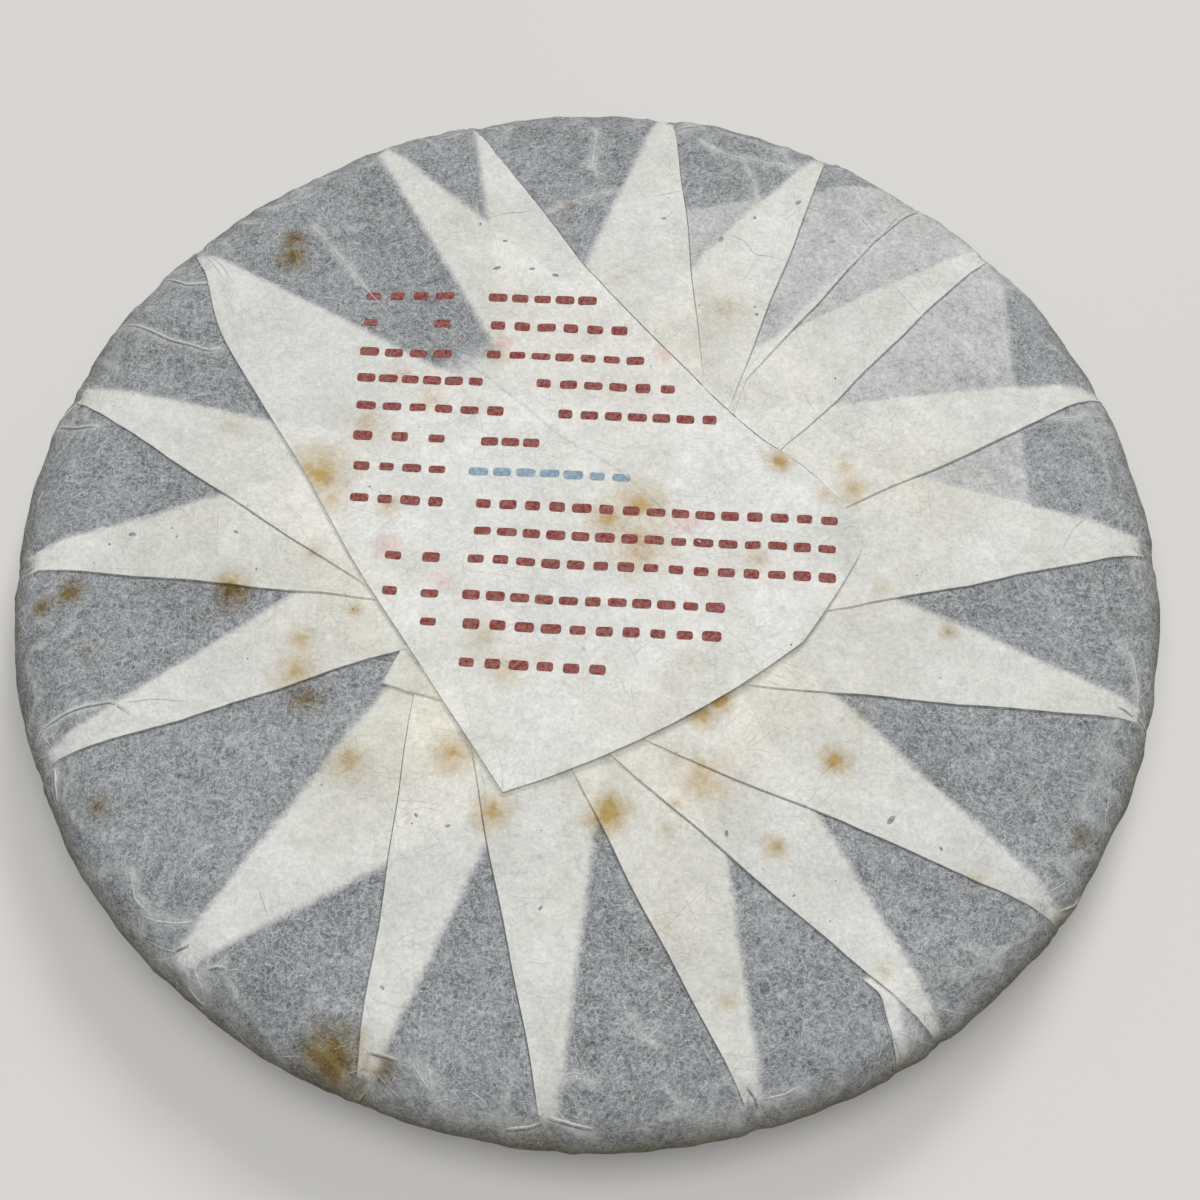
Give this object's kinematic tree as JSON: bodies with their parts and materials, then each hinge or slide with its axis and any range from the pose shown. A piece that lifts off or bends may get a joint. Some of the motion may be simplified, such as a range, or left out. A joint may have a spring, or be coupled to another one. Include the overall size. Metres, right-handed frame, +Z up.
{
  "type": "paper-wrapped pu erh tea cake",
  "caption": "Round cake of pressed tea, shut in a thin pleated paper wrapper and lying face down with the folded back up.",
  "frame": {"origin": "on the table, under the middle of the cake", "axes": "+Z up, from the domed face that the cake rests on to its folded back; +Y away from the viewer"},
  "size_m": [0.1992, 0.2002, 0.024],
  "materials": {
    "wrapper_paper": "matt, soft fibrous cotton paper, aged, with dark tea showing grey through single layers"
  },
  "bodies": {
    "root": {"wrapped_cake": "wrapper_paper"}
  },
  "joints": []
}
